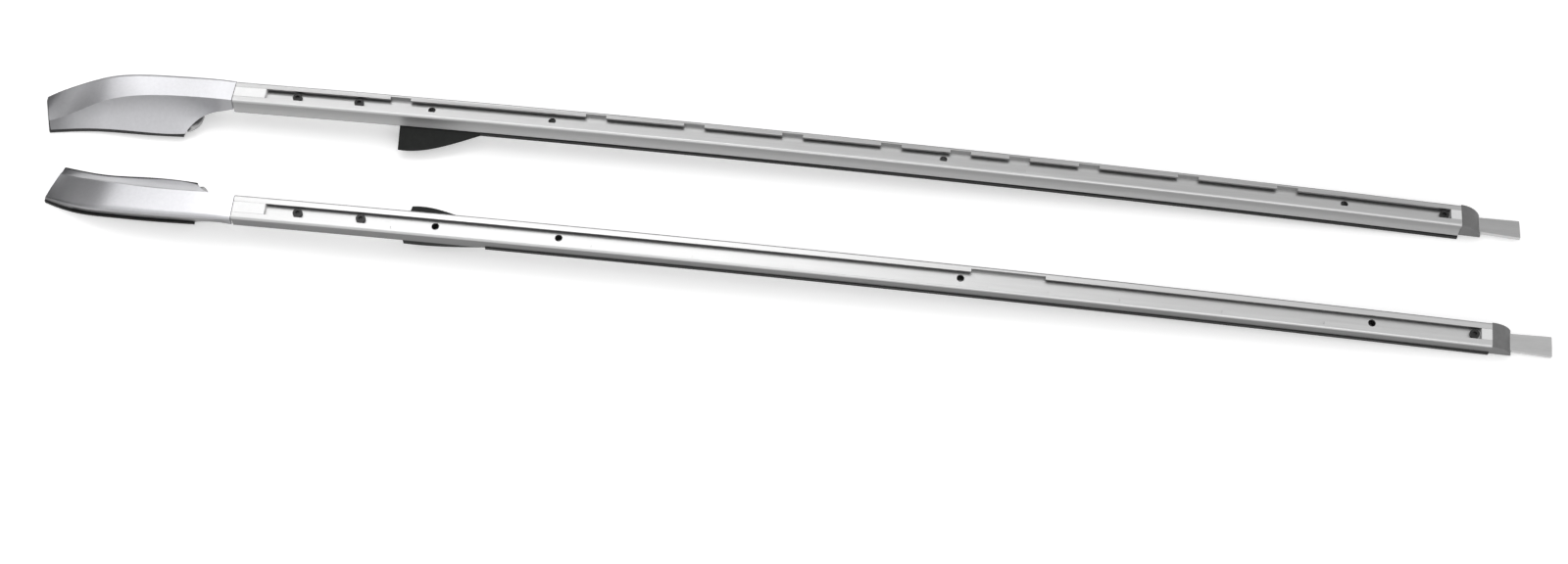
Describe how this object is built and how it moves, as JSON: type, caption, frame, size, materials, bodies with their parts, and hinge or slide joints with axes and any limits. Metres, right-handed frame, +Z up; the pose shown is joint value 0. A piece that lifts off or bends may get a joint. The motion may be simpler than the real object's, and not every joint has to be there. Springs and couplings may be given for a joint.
{
  "type": "roof rack side rails",
  "caption": "Left and right roof rack side rails: crowned T-slot aluminium bars with a swept silver foot, flared black support, dark end cap and a flat metal tang.",
  "frame": {"origin": "middle of the pair's bounding box at the floor it stands on", "axes": "+X from the feet to the tangs, +Y from the right-hand rail to the left-hand rail, +Z up"},
  "size_m": [2.0543, 0.222, 0.0575],
  "materials": {
    "anodised": "satin",
    "silver_paint": "satin",
    "light_plastic": "matte",
    "dark_plastic": "matte",
    "black_plastic": "matte",
    "rubber": "matte",
    "black_steel": "satin",
    "plated_steel": "satin",
    "mill_metal": "satin",
    "cast_metal": "matte"
  },
  "bodies": {
    "root": {"right_rail": "anodised", "right_slot_filler": "light_plastic", "right_slot_stop": "light_plastic", "right_foot_screws": "black_steel", "right_tang_screw": "black_steel", "right_base_strip": "rubber", "right_mid_support": "black_plastic", "right_tang": "mill_metal", "right_end_cap": "dark_plastic", "right_foot_cover": "silver_paint", "right_foot_gasket": "rubber", "right_foot_inserts": "plated_steel", "right_foot_bracket": "cast_metal", "left_rail": "anodised", "left_slot_filler": "light_plastic", "left_slot_stop": "light_plastic", "left_foot_screws": "black_steel", "left_tang_screw": "black_steel", "left_base_strip": "rubber", "left_mid_support": "black_plastic", "left_tang": "mill_metal", "left_end_cap": "dark_plastic", "left_foot_cover": "silver_paint", "left_foot_gasket": "rubber", "left_foot_inserts": "plated_steel", "left_foot_bracket": "cast_metal"}
  },
  "joints": []
}
